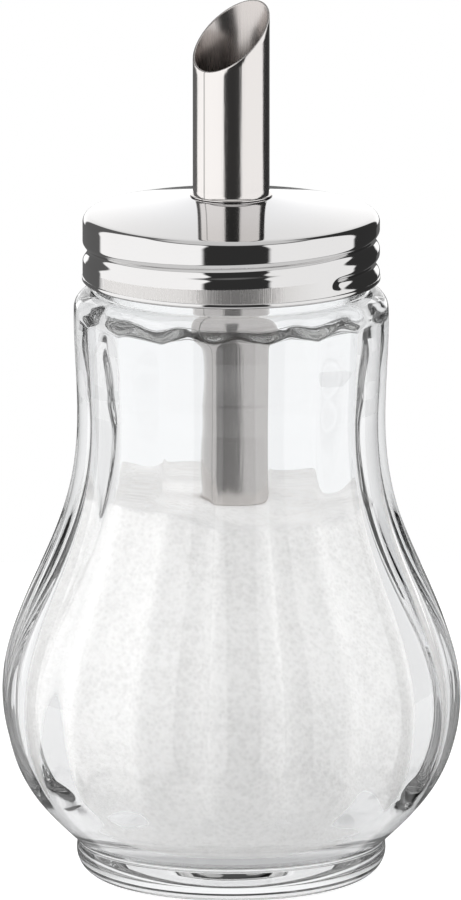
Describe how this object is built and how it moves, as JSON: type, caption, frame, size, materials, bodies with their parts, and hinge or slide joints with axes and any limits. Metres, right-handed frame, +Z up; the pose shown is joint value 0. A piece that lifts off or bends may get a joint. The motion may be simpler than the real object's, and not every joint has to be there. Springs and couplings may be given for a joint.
{
  "type": "sugar dispenser",
  "caption": "Table sugar dispenser: ribbed pear-shaped glass jar, rolled-thread steel screw cap and a dosing tube with a slanted open mouth.",
  "frame": {"origin": "middle of the foot, on the surface that it stands on", "axes": "+Z up along the axis of jar, cap and tube; -Y is the front; +X is the viewer's right"},
  "size_m": [0.0796, 0.0798, 0.1535],
  "materials": {
    "clear_glass": "clear fire-polished pressed glass",
    "polished_steel": "polished stainless steel, the lower skirt brushed upright",
    "tube_steel": "polished stainless steel tube with a faint lengthwise seam",
    "plain_steel": "plain stainless steel",
    "seal_rubber": "translucent white food-grade rubber"
  },
  "bodies": {
    "jar": {"glass_jar": "clear_glass"},
    "seal": {"sealing_ring": "seal_rubber"},
    "lock_ring": {"tube_lock_ring": "plain_steel"},
    "lid": {"screw_cap": "polished_steel", "dosing_tube": "tube_steel"}
  },
  "joints": [
    {"name": "lid_lift_off", "type": "slide", "parent": "jar", "child": "seal", "axis": [0, 0, 1], "range_m": [0, 0.112]},
    {"name": "thread_rise", "type": "slide", "parent": "seal", "child": "lock_ring", "axis": [0, 0, 1], "range_m": [0, 0.0042]},
    {"name": "lid_turn", "type": "hinge", "parent": "lock_ring", "child": "lid", "pos_m": [0, 0, 0.12], "axis": [0, 0, 1], "range_deg": [0, 360]}
  ],
  "couplings": [
    {"joint": "thread_rise", "follows": "lid_turn", "m_per_rad": 0.00066845}
  ]
}
